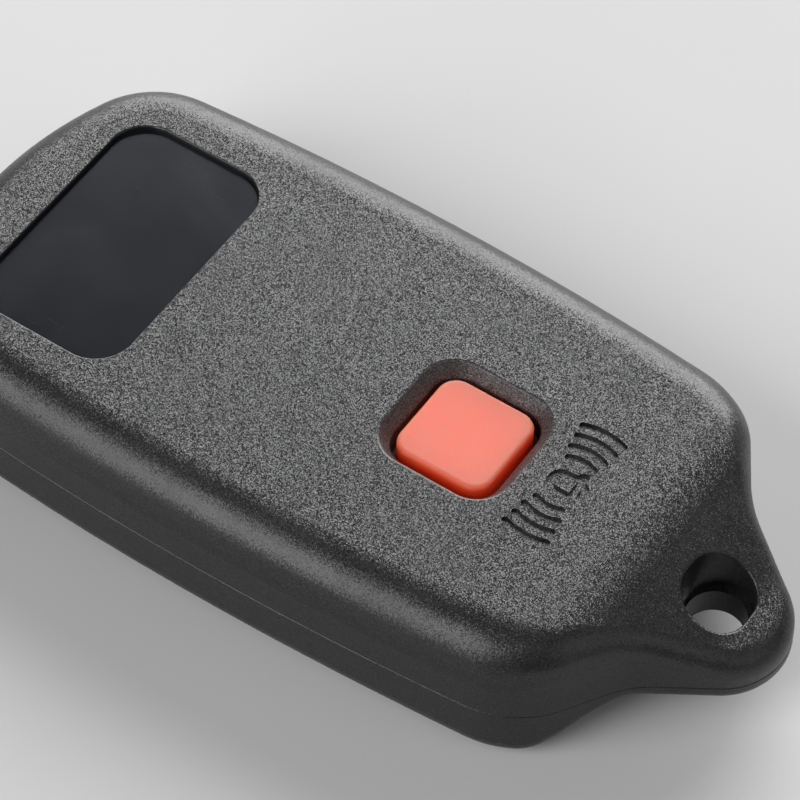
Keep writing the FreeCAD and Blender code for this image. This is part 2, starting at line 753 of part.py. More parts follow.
def rear_cover():
    inset = size("side_wall")
    space = inner_space("rear_space", "Size.side_wall", inset, "Size.parting_height - Size.overrun", CEILING,
                        CAVITY_END)
    ceiling = size("overall_height") - size("rear_wall")
    space = round_edges("rear_space_rounded", space,
                        hollow_edges(space.Shape, ceiling, size("rear_inner_radius")))
    margin = " + 2 * Size.backing_margin"
    backing = rounded_block("label_backing", LABEL_AT, "Size.label_length" + margin,
                            "Size.label_width" + margin, "Size.label_corner_radius + Size.backing_margin",
                            LABEL_FLOOR + " - Size.backing_thickness", TOP)
    collar = rounded_block("alarm_collar", ALARM_AT, ALARM_OPENING + " + 2 * Size.collar_wall",
                           ALARM_OPENING + " + 2 * Size.collar_wall",
                           "Size.alarm_corner_radius + Size.alarm_gap + Size.collar_wall", COLLAR_LOW, TOP)
    spread = MODULE_WIDTH + " / 2 - Size.rear_post_inset"
    places = [(x, y) for x in (REAR_POST_AT, LUG_POST_AT) for y in (spread, "-(%s)" % spread)]
    stays = posts("rear_post", places, MODULE_TOP, TOP, "Size.rear_post_radius")
    recess = rounded_block("label_recess", LABEL_AT, "Size.label_length", "Size.label_width",
                           "Size.label_corner_radius", LABEL_FLOOR, TOP + " + Size.overrun")
    passage = rounded_block("alarm_opening", ALARM_AT, ALARM_OPENING, ALARM_OPENING,
                            "Size.alarm_corner_radius + Size.alarm_gap", MODULE_TOP, TOP)
    mouth = rounded_block("ring_mouth", RING_AT, "2 * Size.mouth_half_length",
                          "2 * Size.mouth_half_width",
                          "min(Size.mouth_half_length; Size.mouth_half_width) - Size.mouth_flat",
                          MOUTH_FLOOR, TOP)
    bore = cylinder("ring_bore", RING_AT, "0", "Size.parting_height - Size.overrun", "Size.ring_radius",
                    "Size.mouth_floor_rise + 2 * Size.overrun")
    hollows = [hollow("rear_hollow", space, [backing, collar] + stays), recess, passage, alarm_well(), mouth,
               bore, alarm_mark()]
    shell = cut("rear_shell", rear_block(), fuse("rear_hollows", hollows))
    doc.recompute()
    return round_edges("rear_cover", shell, mouth_edges(shell.Shape))


def within(point, place, length, width):
    # whether a point lies in a rectangle centred on the fob's middle line
    return abs(point.x - place) < length / 2 + TINY and abs(point.y) < width / 2 + TINY


def mouth_edges(shape):
    # the rims of the well, the label recess and the ring mouth on the outside of the rear cover
    top, tip = size("overall_height"), size("overall_length") / 2
    chosen = []
    for number, edge in enumerate(shape.Edges, start=1):
        points = edge_points(edge)
        middle = points[1]
        low = min(point.z for point in points)
        upright = math.hypot(points[0].x - points[2].x, points[0].y - points[2].y) < TINY
        if low > top - TINY:
            if within(middle, tip - size("alarm_setback"), size("well_length"), size("well_width")):
                chosen.append((number, size("well_rim_radius"), size("well_rim_radius")))
            if within(middle, size("label_setback") - tip, size("label_length"), size("label_width")):
                chosen.append((number, size("label_rim_radius"), size("label_rim_radius")))
        mouth_length, mouth_width = 2 * size("mouth_half_length"), 2 * size("mouth_half_width")
        if within(middle, tip - size("ring_setback"), mouth_length, mouth_width):
            if low > size("parting_height") + size("mouth_floor_rise") + TINY and not upright:
                chosen.append((number, size("mouth_edge_radius"), size("mouth_edge_radius")))
    return chosen


def front_cover():
    inset = size("side_wall") + size("lip_clearance")
    lip_high = "Size.parting_height + Size.lip_rise"
    lip_end = CAVITY_END + " - Size.lip_clearance"
    lip = inner_space("lip", LIP_INSET, inset, "Size.front_wall", lip_high, lip_end)
    space = inner_space("front_space", FRONT_INSET, inset + size("lip_thickness"), "Size.front_wall",
                        lip_high + " + Size.overrun", lip_end + " - Size.lip_thickness")
    space = round_edges("front_space_rounded", space,
                        hollow_edges(space.Shape, size("front_wall"), size("front_inner_radius")))
    spread = MODULE_WIDTH + " / 2 - Size.front_post_inset"
    places = [(x, y) for x in (FRONT_POST_AT, LUG_POST_AT) for y in (spread, "-(%s)" % spread)]
    stays = posts("front_post", places, "Size.front_wall - Size.seat_gap", "Size.module_floor_height",
                  "Size.front_post_radius")
    openings = []
    for name in BUTTON_AT:
        openings.append(rounded_block(name + "_opening", BUTTON_AT[name],
                                      "Size.front_button_length + 2 * Size.button_gap",
                                      "Size.front_button_width + 2 * Size.button_gap",
                                      "Size.front_button_corner_radius + Size.button_gap",
                                      "-Size.overrun", "Size.front_wall + Size.seat_gap"))
    light = cylinder("light_hole", LIGHT_AT, "0", "-Size.overrun",
                     "Size.light_pipe_radius + Size.light_clearance", "Size.front_wall + 2 * Size.overrun")
    ring = cylinder("ring_hole", RING_AT, "0", "-Size.overrun", "Size.ring_radius",
                    "Size.parting_height + 2 * Size.overrun")
    body = fuse("front_body", [front_block(), lip])
    return cut("front_cover", body, fuse("front_hollows", [hollow("front_hollow", space, stays), light, ring]
                                         + openings))


def capped(name, x, length, width, radius, low, high, edge_radius, outward):
    # a rounded block whose outward face has a soft edge
    block = rounded_block(name + "_block", x, length, width, radius, low, high)
    doc.recompute()
    bounds = block.Shape.BoundBox
    return round_edges(name + "_cap", block,
                       flat_edges(block.Shape, bounds.ZMax if outward > 0 else bounds.ZMin, edge_radius))


def flange(name, x, length, width, radius, low, high):
    more = " + 2 * Size.flange_width"
    return rounded_block(name + "_flange", x, length + more, width + more, radius + " + Size.flange_width",
                         low, high)


def alarm_button():
    where = ALARM_AT
    radius = "Size.alarm_corner_radius"
    cap = capped("alarm", where, "Size.alarm_size", "Size.alarm_size", radius, ALARM_FLANGE_LOW,
                 TOP + " - Size.alarm_sink", size("alarm_edge_radius"), 1)
    skirt = flange("alarm", where, "Size.alarm_size", "Size.alarm_size", radius, ALARM_FLANGE_LOW,
                   ALARM_FLANGE_TOP)
    return fuse("alarm_button", [cap, skirt])


def front_button(name):
    where = BUTTON_AT[name]
    length, width = "Size.front_button_length", "Size.front_button_width"
    radius = "Size.front_button_corner_radius"
    cap = capped(name, where, length, width, radius, "Size.front_button_sink", FRONT_FLANGE_TOP,
                 size("front_button_edge_radius"), -1)
    skirt = flange(name, where, length, width, radius, FRONT_FLANGE_LOW, FRONT_FLANGE_TOP)
    stem = cylinder(name + "_stem", where, "0", FRONT_FLANGE_LOW, "Size.stem_radius",
                    "%s - (%s)" % (STEM_TOP, FRONT_FLANGE_LOW))
    return fuse(name + "_button", [cap, skirt, stem])


def label_plate():
    less = " - 2 * Size.label_clearance"
    return rounded_block("label_plate", LABEL_AT, "Size.label_length" + less,
                         "Size.label_width" + less, "Size.label_corner_radius - Size.label_clearance",
                         LABEL_FLOOR, LABEL_FLOOR + " + Size.label_thickness")


def module_block(name, low, high):
    return rounded_block(name, MODULE_AT, MODULE_LENGTH, MODULE_WIDTH, "Size.module_corner_radius", low, high)


def module_space(name, low, high):
    less = " - 2 * Size.module_wall"
    return rounded_block(name, MODULE_AT, MODULE_LENGTH + less, MODULE_WIDTH + less,
                         "Size.module_corner_radius - Size.module_wall", low, high)


def module_case():
    shell = module_block("case_block", "Size.module_floor_height", "Size.module_rim_height")
    space = module_space("case_space", MODULE_FLOOR_TOP, "Size.module_rim_height + Size.overrun")
    along = "(%s / 2 - Size.module_post_inset)" % MODULE_LENGTH
    across = "(%s / 2 - Size.module_post_inset)" % MODULE_WIDTH
    places = [("%s %s %s" % (MODULE_AT, sign, along), turn + across) for sign in "+-" for turn in ("", "-")]
    stays = posts("ledge", places, "Size.module_floor_height", "Size.board_height", "Size.module_post_radius")
    holes = [cylinder(name + "_stem_hole", BUTTON_AT[name], "0", "Size.module_floor_height - Size.overrun",
                      "Size.stem_radius + Size.button_gap", "Size.module_floor + 2 * Size.overrun")
             for name in BUTTON_AT]
    holes.append(cylinder("case_light_hole", LIGHT_AT, "0", "Size.module_floor_height - Size.overrun",
                          "Size.light_pipe_radius + Size.button_gap", "Size.module_floor + 2 * Size.overrun"))
    return cut("module_case", shell, fuse("case_hollows", [hollow("case_hollow", space, stays)] + holes))


def sealing_gasket():
    space = module_space("gasket_space", "Size.module_rim_height - Size.overrun",
                         COVER_LOW + " + Size.overrun")
    return cut("sealing_gasket", module_block("gasket_block", "Size.module_rim_height", COVER_LOW), space)


def module_cover():
    shell = module_block("cover_block", COVER_LOW, MODULE_TOP)
    space = module_space("cover_space", COVER_LOW + " - Size.overrun", MODULE_TOP + " - Size.module_top")
    window = "Size.alarm_size + 2 * Size.flange_width + 2 * Size.window_clearance"
    opening = rounded_block("alarm_window", ALARM_AT, window, window, "Size.alarm_corner_radius",
                            COVER_LOW, MODULE_TOP + " + Size.overrun")
    return cut("module_cover", shell, fuse("cover_hollows", [space, opening]))


def circuit_board():
    less = " - 2 * Size.module_wall - 2 * Size.board_margin"
    return rounded_block("circuit_board", MODULE_AT, MODULE_LENGTH + less, MODULE_WIDTH + less,
                         "Size.module_corner_radius - Size.module_wall", "Size.board_height", BOARD_TOP)


def coin_cell():
    step = "Size.cell_step"
    cap = cylinder("cell_cap", CELL_AT, "0", CELL_LOW, "Size.cell_cap_radius", "Size.cell_thickness")
    can = cylinder("cell_can", CELL_AT, "0", CELL_LOW + " + " + step, "Size.cell_radius",
                   "Size.cell_thickness - " + step)
    doc.recompute()
    rounded = round_edges("cell_can_rounded", can,
                          flat_edges(can.Shape, can.Shape.BoundBox.ZMax, size("cell_step")))
    return fuse("coin_cell", [cap, rounded])


def positive_contact():
    # a strip over the cell with a leg down to the board and a foot on it
    leg_place = CELL_AT + " + Size.cell_radius + Size.contact_gap"
    strip = box("contact_strip", leg_place + " - Size.contact_strip / 2 + Size.contact_thickness / 2", "0",
                CELL_TOP, "Size.contact_strip", "Size.contact_width", "Size.contact_thickness")
    leg = box("contact_leg", leg_place, "0", BOARD_TOP, "Size.contact_thickness", "Size.contact_width",
              "Size.cell_thickness + 2 * Size.contact_thickness")
    foot = box("contact_foot", leg_place + " + Size.contact_foot / 2 - Size.contact_thickness / 2", "0",
               BOARD_TOP, "Size.contact_foot", "Size.contact_width", "Size.contact_thickness")
    return fuse("positive_contact", [strip, leg, foot])


def negative_contact():
    return box("negative_contact", CELL_AT, "0", BOARD_TOP, "Size.contact_plate",
               "Size.contact_width", "Size.contact_thickness")


def switch(name, place, width, low, high, well_low, well_high, well_radius):
    case = box(name + "_switch_block", place, "0", low, width, width, "%s - (%s)" % (high, low))
    well = cylinder(name + "_switch_well", place, "0", well_low, well_radius,
                    "%s - (%s)" % (well_high, well_low))
    return cut(name + "_switch", case, well)


def plunger(name, place, low, high, radius):
    return cylinder(name + "_plunger", place, "0", low, radius, "%s - (%s)" % (high, low))


def alarm_switch():
    # its plunger comes up out of it and carries the button
    well = ALARM_SWITCH_TOP + " - Size.plunger_grip - Size.alarm_travel - Size.plunger_clearance"
    radius = "Size.alarm_plunger_radius"
    case = switch("alarm", ALARM_AT, "Size.alarm_switch_size", BOARD_TOP, ALARM_SWITCH_TOP, well,
                  ALARM_SWITCH_TOP + " + Size.overrun", radius + " + Size.plunger_clearance")
    low = ALARM_SWITCH_TOP + " - Size.plunger_grip"
    return case, plunger("alarm", ALARM_AT, low, ALARM_FLANGE_LOW, radius)


def front_switch(name):
    # hangs below the board, with its plunger down on the button's stem
    mouth = "Size.board_height - Size.front_switch_height"
    well = mouth + " + Size.plunger_grip + Size.front_button_travel + Size.plunger_clearance"
    radius = "Size.front_plunger_radius"
    case = switch(name, BUTTON_AT[name], "Size.front_switch_size", mouth, "Size.board_height",
                  mouth + " - Size.overrun", well, radius + " + Size.plunger_clearance")
    return case, plunger(name, BUTTON_AT[name], STEM_TOP, mouth + " + Size.plunger_grip", radius)


def light_pipe():
    collar = cylinder("light_collar", LIGHT_AT, "0", "Size.front_wall", "Size.light_collar_radius",
                      "Size.flange_thickness")
    shaft = cylinder("light_shaft", LIGHT_AT, "0", "Size.light_sink", "Size.light_pipe_radius",
                     "Size.board_height - Size.light_height - Size.seat_gap - Size.light_sink")
    return fuse("light_pipe", [collar, shaft])


def indicator_light():
    return box("indicator_light", LIGHT_AT, "0", "Size.board_height - Size.light_height",
               "Size.light_length", "Size.light_width", "Size.light_height")


def controller_chip():
    chip = box("chip_body", CHIP_AT, "Size.chip_side", BOARD_TOP + " + Size.chip_stand",
               "Size.chip_size", "Size.chip_size", "Size.chip_height")
    legs = []
    for number in range(4):
        across = "Size.chip_side + (%g) * Size.chip_pitch" % (number - 1.5)
        legs.append(box("chip_leg_%d" % (number + 1), CHIP_AT, across, BOARD_TOP,
                        "Size.chip_size + 2 * Size.chip_leg", "Size.chip_leg_width", "Size.chip_leg_rise"))
    return fuse("controller_chip", [chip] + legs)


def radio_resonator():
    return cylinder("radio_resonator", CHIP_AT, "Size.resonator_side", BOARD_TOP,
                    "Size.resonator_radius", "Size.resonator_height")


def timing_crystal():
    return box("timing_crystal", CHIP_AT, "Size.crystal_side", BOARD_TOP, "Size.crystal_length",
               "Size.crystal_width", "Size.crystal_height")


def chip_row(name, first, height):
    return fuse(name, [box("%s_%d" % (name, number + 1), ROW_AT, "%s + %d * Size.row_pitch" % (first, number),
                           BOARD_TOP, "Size.chip_part_length", "Size.chip_part_width", height)
                       for number in range(5)])


def antenna_loop():
    width = MODULE_WIDTH + " - 2 * Size.antenna_margin"
    outer = rounded_block("antenna_outer", ANTENNA_AT, "Size.antenna_length", width,
                          "Size.antenna_corner_radius", BOARD_TOP, BOARD_TOP + " + Size.antenna_height")
    less = " - 2 * Size.antenna_strip"
    inner = rounded_block("antenna_inner", ANTENNA_AT, "Size.antenna_length" + less, width + less,
                          "Size.antenna_corner_radius - Size.antenna_strip", BOARD_TOP + " - Size.overrun",
                          BOARD_TOP + " + Size.antenna_height + Size.overrun")
    gap = box("antenna_gap", ANTENNA_AT + " - Size.antenna_length / 2", "0", BOARD_TOP,
              "Size.antenna_length / 2", "(%s) / 2" % width, "Size.antenna_height")
    return cut("antenna_loop", outer, fuse("antenna_hollows", [inner, gap]))


parts = [rear_cover(), front_cover(), label_plate(), alarm_button(), *alarm_switch()]
for button in BUTTON_AT:
    parts += [front_button(button), *front_switch(button)]
parts += [
    module_case(), sealing_gasket(), module_cover(), circuit_board(), coin_cell(), positive_contact(),
    negative_contact(), light_pipe(), indicator_light(), controller_chip(), radio_resonator(),
    timing_crystal(),
    chip_row("capacitors", "Size.capacitor_first", "Size.capacitor_height"),
    chip_row("resistors", "Size.resistor_first", "Size.resistor_height"),
    antenna_loop(),
]
doc.recompute()

for thing in doc.Objects:
    if "Invalid" in thing.State or "Error" in thing.State:
        raise RuntimeError("%s did not build: %s" % (thing.Name, thing.State))
for part in parts:
    if part.Shape.isNull() or not part.Shape.isValid():
        raise RuntimeError("%s has no sound shape" % part.Name)
    part.Label = part.Name
    part.Shape.exportStep("parts/%s.step" % part.Label)
    print("%-18s %2d solid(s) %9.2f mm3" % (part.Label, len(part.Shape.Solids), part.Shape.Volume))
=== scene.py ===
import json
import math

import bmesh
import bpy
from mathutils import Matrix, Vector

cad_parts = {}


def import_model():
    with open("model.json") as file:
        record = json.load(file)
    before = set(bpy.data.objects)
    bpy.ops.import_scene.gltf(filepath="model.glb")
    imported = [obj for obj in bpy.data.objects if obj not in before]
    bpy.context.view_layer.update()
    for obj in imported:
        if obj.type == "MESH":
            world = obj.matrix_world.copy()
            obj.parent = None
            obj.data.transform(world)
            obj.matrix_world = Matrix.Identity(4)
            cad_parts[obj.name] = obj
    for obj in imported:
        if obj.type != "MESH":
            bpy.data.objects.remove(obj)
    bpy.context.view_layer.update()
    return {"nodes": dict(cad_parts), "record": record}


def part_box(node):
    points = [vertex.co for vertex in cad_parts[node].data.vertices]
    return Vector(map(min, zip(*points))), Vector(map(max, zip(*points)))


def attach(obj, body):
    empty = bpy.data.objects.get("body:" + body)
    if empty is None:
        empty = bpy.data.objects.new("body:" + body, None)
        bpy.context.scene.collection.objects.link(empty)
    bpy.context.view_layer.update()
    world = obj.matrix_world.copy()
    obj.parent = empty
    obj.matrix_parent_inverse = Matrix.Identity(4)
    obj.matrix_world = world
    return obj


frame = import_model()
SLOT_OF = {part["node"]: part["material_slot"] for part in frame["record"]["subparts"]}
MM = 0.001
FRAME_PIXELS = 800


# Camera: the photograph's viewing angle, fitted to measured points of it

def camera():
    azimuth, elevation, roll = math.radians(34.239), math.radians(52.773), math.radians(0.339)
    distance, target, focal_pixels = 302.6 * MM, Vector((2.97, -0.547, 12.0)) * MM, 4200
    back = Vector((math.sin(azimuth) * math.cos(elevation), -math.cos(azimuth) * math.cos(elevation),
                   math.sin(elevation)))
    right = (-back).cross(Vector((0, 0, 1))).normalized()
    up = right.cross(-back)
    turned_right = right * math.cos(roll) + up * math.sin(roll)
    turned_up = up * math.cos(roll) - right * math.sin(roll)
    data = bpy.data.cameras.new("photo_camera")
    data.sensor_fit = "HORIZONTAL"
    data.sensor_width = 36
    data.lens = focal_pixels / FRAME_PIXELS * data.sensor_width
    data.clip_start = 0.01
    data.clip_end = 20
    data.dof.use_dof = False
    view = bpy.data.objects.new("photo_camera", data)
    rotation = Matrix((turned_right, turned_up, back)).transposed()
    view.matrix_world = Matrix.Translation(target + back * distance) @ rotation.to_4x4()
    bpy.context.scene.collection.objects.link(view)
    bpy.context.scene.camera = view


# Materials: each one is a node tree, with its own grain, tone and gloss

# Places where the finish of the rear shell differs: the well round the alarm button and the engraved mark,
# whose grooves start below the top face
WELL_CENTRE = (Vector(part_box("alarm_button")[0]) + Vector(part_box("alarm_button")[1])) / 2
WELL_REACH = 8.5 * MM
MARK_CENTRE = Vector((16.8 * MM, 0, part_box("rear_cover")[1][2]))
MARK_REACH = 6.4 * MM
MARK_PROPORTION = (3, 1, 0)
GROOVE_START, GROOVE_FULL = MARK_CENTRE.z - 0.03 * MM, MARK_CENTRE.z - 0.12 * MM

# How far a surface faces up, 0 for a wall and 1 for a level face, where a finish starts and ends its change
WALL_TO_SHOULDER = (0.4, 0.7)
SHOULDER_TO_LEVEL = (0.90, 0.975)
FLANK_TO_FACE = (0.35, 0.97)


class Paint:
    # a material under construction: shader, object coordinates and helpers to add nodes
    def __init__(self, name, colour, roughness):
        self.material = bpy.data.materials.new(name)
        self.material.use_nodes = True
        self.tree = self.material.node_tree
        self.shader = self.tree.nodes["Principled BSDF"]
        self.shader.inputs["Base Color"].default_value = (*colour, 1)
        self.shader.inputs["Roughness"].default_value = roughness
        self.place = self.add("ShaderNodeTexCoord").outputs["Object"]

    def add(self, kind, **values):
        node = self.tree.nodes.new(kind)
        for key, value in values.items():
            setattr(node, key, value)
        return node

    def feed(self, node, name, source):
        if isinstance(source, bpy.types.NodeSocket):
            self.tree.links.new(source, node.inputs[name])
        else:
            node.inputs[name].default_value = source

    def noise(self, per_mm, detail=2.0, roughness=0.5, distortion=0.0):
        node = self.add("ShaderNodeTexNoise")
        self.feed(node, "Vector", self.place)
        self.feed(node, "Scale", per_mm / MM)
        self.feed(node, "Detail", detail)
        self.feed(node, "Roughness", roughness)
        self.feed(node, "Distortion", distortion)
        return node.outputs["Fac"]

    def component(self, vector, axis):
        node = self.add("ShaderNodeSeparateXYZ")
        self.feed(node, "Vector", vector)
        return node.outputs[axis]

    def length(self, vector):
        node = self.add("ShaderNodeVectorMath", operation="LENGTH")
        self.feed(node, 0, vector)
        return node.outputs["Value"]

    def upright(self):
        # how far the surface faces up or down: 1 for a level face, 0 for a wall
        normal = self.add("ShaderNodeTexCoord").outputs["Normal"]
        return self.maths("ABSOLUTE", self.component(normal, "Z"), 0.0)

    def ramp(self, source, low, high, from_low=0.3, from_high=0.7):
        # low where the source is at from_low, high where it is at from_high, and even steps between
        node = self.add("ShaderNodeMapRange")
        self.feed(node, "Value", source)
        self.feed(node, "From Min", from_low)
        self.feed(node, "From Max", from_high)
        self.feed(node, "To Min", low)
        self.feed(node, "To Max", high)
        return node.outputs["Result"]

    def blend(self, share, first, second):
        # the first colour where the share is 0 and the second where it is 1
        node = self.add("ShaderNodeMix", data_type="RGBA")
        self.feed(node, 0, share)
        for number, colour in ((6, first), (7, second)):
            self.feed(node, number, colour if isinstance(colour, bpy.types.NodeSocket) else (*colour, 1))
        return node.outputs[2]

    def near(self, centre, reach, proportion=(1, 1, 1)):
        # 1 near a point of the object, fading to 0 over the last tenth of the reach
        offset = self.vector_maths("MULTIPLY", self.vector_maths("SUBTRACT", self.place, centre), proportion)
        return self.ramp(self.length(offset), 1, 0, reach * 0.9, reach)

    def maths(self, operation, first, second):
        node = self.add("ShaderNodeMath", operation=operation)
        self.feed(node, 0, first)
        self.feed(node, 1, second)
        return node.outputs["Value"]

    def vector_maths(self, operation, first, second=(0, 0, 0)):
        node = self.add("ShaderNodeVectorMath", operation=operation)
        self.feed(node, 0, first)
        self.feed(node, 1, second)
        return node.outputs["Vector"]

    def bump(self, height, depth_mm, strength=1.0):
        node = self.add("ShaderNodeBump")
        self.feed(node, "Height", height)
        self.feed(node, "Distance", depth_mm * MM)
        self.feed(node, "Strength", strength)
        self.tree.links.new(node.outputs["Normal"], self.shader.inputs["Normal"])

    def facets(self, per_mm, tilt):
        # tiny flat facets, each tilted its own way, on top of the bump that the shader already has
        cells = self.add("ShaderNodeTexVoronoi")
        self.feed(cells, "Vector", self.place)
        self.feed(cells, "Scale", per_mm / MM)
        centred = self.vector_maths("SUBTRACT", cells.outputs["Color"], (0.5, 0.5, 0.5))
        scaled = self.add("ShaderNodeVectorMath", operation="SCALE")
        self.feed(scaled, "Vector", centred)
        self.feed(scaled, "Scale", tilt)
        smooth = self.shader.inputs["Normal"].links[0].from_socket
        tilted = self.vector_maths("ADD", smooth, scaled.outputs["Vector"])
        self.tree.links.new(self.vector_maths("NORMALIZE", tilted), self.shader.inputs["Normal"])


def grained_shell():
    # dark moulded plastic with a sparkling spark-eroded grain: full on level faces, softer on the shoulders
    # and nearly worn away on the walls; the well round the alarm button is grained all over, and it and the
    # grooves of the mark are painted a flecked lighter grey, painted light that brightens their shade
    dark, pale, painted_light_grey = (0.004, 0.004, 0.005), (0.026, 0.026, 0.027), (0.085, 0.081, 0.078)
    shoulder_tilt, level_tilt, well_tilt = 0.25, 0.45, 0.42
    wall_share, groove_fill_share = 0.4, 0.5
    paint = Paint("shell_grain", (0.013, 0.013, 0.014), 0.3)
    swell = paint.noise(per_mm=4.5, detail=2.0, roughness=0.6)
    fleck = paint.noise(per_mm=9.0, detail=1.0)
    upright = paint.upright()
    well = paint.maths("MULTIPLY", paint.near(WELL_CENTRE, WELL_REACH),
                       paint.ramp(upright, 1, 0, *SHOULDER_TO_LEVEL))
    tilt = paint.maths("MULTIPLY", paint.ramp(upright, shoulder_tilt, level_tilt, *SHOULDER_TO_LEVEL),
                       paint.ramp(upright, wall_share, 1.0, *WALL_TO_SHOULDER))
    paint.bump(swell, depth_mm=0.010)
    paint.facets(per_mm=14.0, tilt=paint.maths("MAXIMUM", tilt, paint.maths("MULTIPLY", well, well_tilt)))
    plastic = paint.blend(paint.ramp(fleck, 0, 1, 0.42, 0.70), dark, pale)
    groove = paint.maths("MULTIPLY", paint.near(MARK_CENTRE, MARK_REACH, MARK_PROPORTION),
                         paint.ramp(paint.component(paint.place, "Z"), 1, 0, GROOVE_FULL, GROOVE_START))
    # painted light: the well and the mark's grooves get a flecked lighter grey that brightens their shade
    painted_fill = paint.maths("MAXIMUM", well, paint.maths("MULTIPLY", groove, groove_fill_share))
    painted_light_flecks = paint.maths("MULTIPLY", painted_fill, paint.ramp(fleck, 0.15, 1.0, 0.38, 0.62))
    paint.feed(paint.shader, "Base Color", paint.blend(painted_light_flecks, plastic, painted_light_grey))
    gloss = paint.noise(per_mm=0.25, detail=3.0)
    paint.feed(paint.shader, "Roughness", paint.ramp(gloss, low=0.33, high=0.40))
    return paint.material


def label_sheet():
    # smooth dark label film with faint wiping marks and a few hairline scratches
    film, scratched, blue_reflection_tint = (0.007, 0.008, 0.011), (0.016, 0.017, 0.020), (0.88, 0.93, 1.0)
    scratch_turn, along_per_mm, across_per_mm = math.radians(24), 0.3, 4.5
    paint = Paint("label_sheet", film, 0.2)
    smear = paint.noise(per_mm=0.16, detail=4.0, roughness=0.6, distortion=0.6)
    turned = paint.add("ShaderNodeMapping")
    paint.feed(turned, "Vector", paint.place)
    paint.feed(turned, "Rotation", (0, 0, scratch_turn))
    paint.feed(turned, "Scale", (along_per_mm / MM, across_per_mm / MM, 1 / MM))
    streak = paint.add("ShaderNodeTexNoise")
    paint.feed(streak, "Vector", turned.outputs["Vector"])
    paint.feed(streak, "Scale", 1.0)
    paint.feed(streak, "Detail", 1.0)
    scratch = paint.ramp(streak.outputs["Fac"], 0, 1, 0.74, 0.78)
    paint.feed(paint.shader, "Base Color", paint.blend(scratch, film, scratched))
    paint.feed(paint.shader, "Roughness", paint.ramp(smear, low=0.16, high=0.19))
    # painted reflection: the label's reflections are tinted blue
    paint.feed(paint.shader, "Specular Tint", (*blue_reflection_tint, 1))
    paint.bump(paint.noise(per_mm=3.0), depth_mm=0.002, strength=0.5)
    return paint.material


def alarm_rubber():
    # silicone rubber that light soaks into, red most of all: its face is painted paler than its flanks as a
    # painted sheen, with a very fine tooth
    flank_colour, face_colour = (0.98, 0.12, 0.035), (0.755, 0.205, 0.15)
    soak_depth, soak_by_colour = 4.0 * MM, (1.0, 0.12, 0.06)
    paint = Paint("alarm_rubber_coral", face_colour, 0.5)
    paint.feed(paint.shader, "Specular IOR Level", 0.3)
    paint.feed(paint.shader, "Subsurface Weight", 1.0)
    paint.feed(paint.shader, "Subsurface Radius", soak_by_colour)
    paint.feed(paint.shader, "Subsurface Scale", soak_depth)
    speck = paint.noise(per_mm=7.0)
    face = paint.ramp(paint.upright(), 0, 1, *FLANK_TO_FACE)
    # painted sheen: the face, by which way it faces, is painted paler than the deeper red flanks
    painted_face_sheen = paint.maths("MULTIPLY", face, paint.ramp(speck, 0.72, 1.0, 0.35, 0.6))
    paint.feed(paint.shader, "Base Color", paint.blend(painted_face_sheen, flank_colour, face_colour))
    paint.feed(paint.shader, "Roughness", paint.ramp(paint.noise(per_mm=0.4, detail=3.0), low=0.5, high=0.6))
    paint.bump(speck, depth_mm=0.012, strength=0.6)
    return paint.material


def plain(name, colour, roughness, tone=0.12, metallic=0.0):
    # an even material with a slight mottle in its colour and gloss and a fine surface
    grain_per_mm, mottle_per_mm, gloss_change = 5.0, 5.0 / 6, 0.1
    paint = Paint(name, colour, roughness)
    mottle = paint.noise(mottle_per_mm, detail=3.0)
    dark = tuple(part * (1 - tone) for part in colour)
    light = tuple(min(part * (1 + tone), 1.0) for part in colour)
    paint.feed(paint.shader, "Base Color", paint.blend(paint.ramp(mottle, 0, 1), dark, light))
    paint.feed(paint.shader, "Roughness",
               paint.ramp(mottle, roughness * (1 - gloss_change), min(roughness * (1 + gloss_change), 1.0)))
    paint.feed(paint.shader, "Metallic", metallic)
    paint.bump(paint.noise(grain_per_mm), depth_mm=0.01, strength=0.5)
    return paint


def circuit_mask():
    # green solder mask: copper tracks show through it as slightly paler, raised lines
    thin, thick, over_copper = (0.010, 0.085, 0.038), (0.016, 0.125, 0.055), (0.035, 0.2, 0.08)
    paint = Paint("board_mask", (0.012, 0.10, 0.045), 0.28)
    tracks = paint.add("ShaderNodeTexBrick", offset=0.37, squash=0.6, squash_frequency=3)
    paint.feed(tracks, "Vector", paint.place)
    for name, value in (("Scale", 1 / MM), ("Brick Width", 2.6), ("Row Height", 0.8), ("Mortar Size", 0.09),
                        ("Mortar Smooth", 0.2)):
        paint.feed(tracks, name, value)
    broken = paint.ramp(paint.noise(per_mm=0.35, detail=1.0), 0, 1, 0.45, 0.55)
    line = paint.maths("MULTIPLY", tracks.outputs["Fac"], broken)
    mask = paint.blend(paint.ramp(paint.noise(per_mm=1.2, detail=3.0), low=0.0, high=0.35), thin, thick)
    paint.feed(paint.shader, "Base Color", paint.blend(line, mask, over_copper))
    paint.bump(line, depth_mm=0.03, strength=0.6)
    return paint.material


def turned_steel():
    # stamped steel can with fine rings left by turning and a few handling marks
    handled, clean = (0.48, 0.48, 0.47), (0.60, 0.60, 0.59)
    rings_per_mm = 6
    low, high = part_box("coin_cell")
    paint = Paint("cell_steel", (0.55, 0.55, 0.54), 0.3)
    offset = paint.vector_maths("SUBTRACT", paint.place, (Vector(low) + Vector(high)) / 2)
    rings = paint.add("ShaderNodeTexNoise", noise_dimensions="1D")
    paint.feed(rings, "W", paint.length(paint.vector_maths("MULTIPLY", offset, (1, 1, 0))))
    paint.feed(rings, "Scale", rings_per_mm / MM)
    mark = paint.noise(per_mm=0.5, detail=4.0, roughness=0.6)
    paint.feed(paint.shader, "Base Color", paint.blend(paint.ramp(mark, 0, 1), handled, clean))
    paint.feed(paint.shader, "Roughness", paint.ramp(rings.outputs["Fac"], low=0.24, high=0.40))
    paint.feed(paint.shader, "Metallic", 1.0)
    paint.bump(rings.outputs["Fac"], depth_mm=0.004, strength=0.6)
    return paint.material


